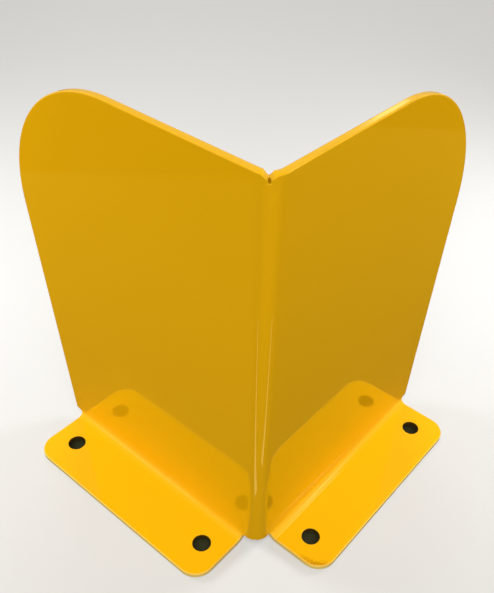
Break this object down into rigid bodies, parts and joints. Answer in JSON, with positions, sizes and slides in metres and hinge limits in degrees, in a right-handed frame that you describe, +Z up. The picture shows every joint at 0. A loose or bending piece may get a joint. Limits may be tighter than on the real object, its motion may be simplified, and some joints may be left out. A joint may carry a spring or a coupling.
{
  "type": "rack column guard",
  "caption": "L-shaped upright guard folded from one yellow powder-coated steel sheet, with rounded top corners and outward feet with anchor holes, bolted to the floor in front of a rack column.",
  "frame": {"origin": "middle of the footprint's box, on the plane of the floor", "axes": "+Z up from the floor; one leg runs along +X and the other along +Y, and the feet turn out towards -Y and -X"},
  "size_m": [0.334, 0.334, 0.4],
  "materials": {
    "powder_coat": "gloss yellow powder coat"
  },
  "bodies": {
    "root": {"column_guard": "powder_coat"}
  },
  "joints": []
}
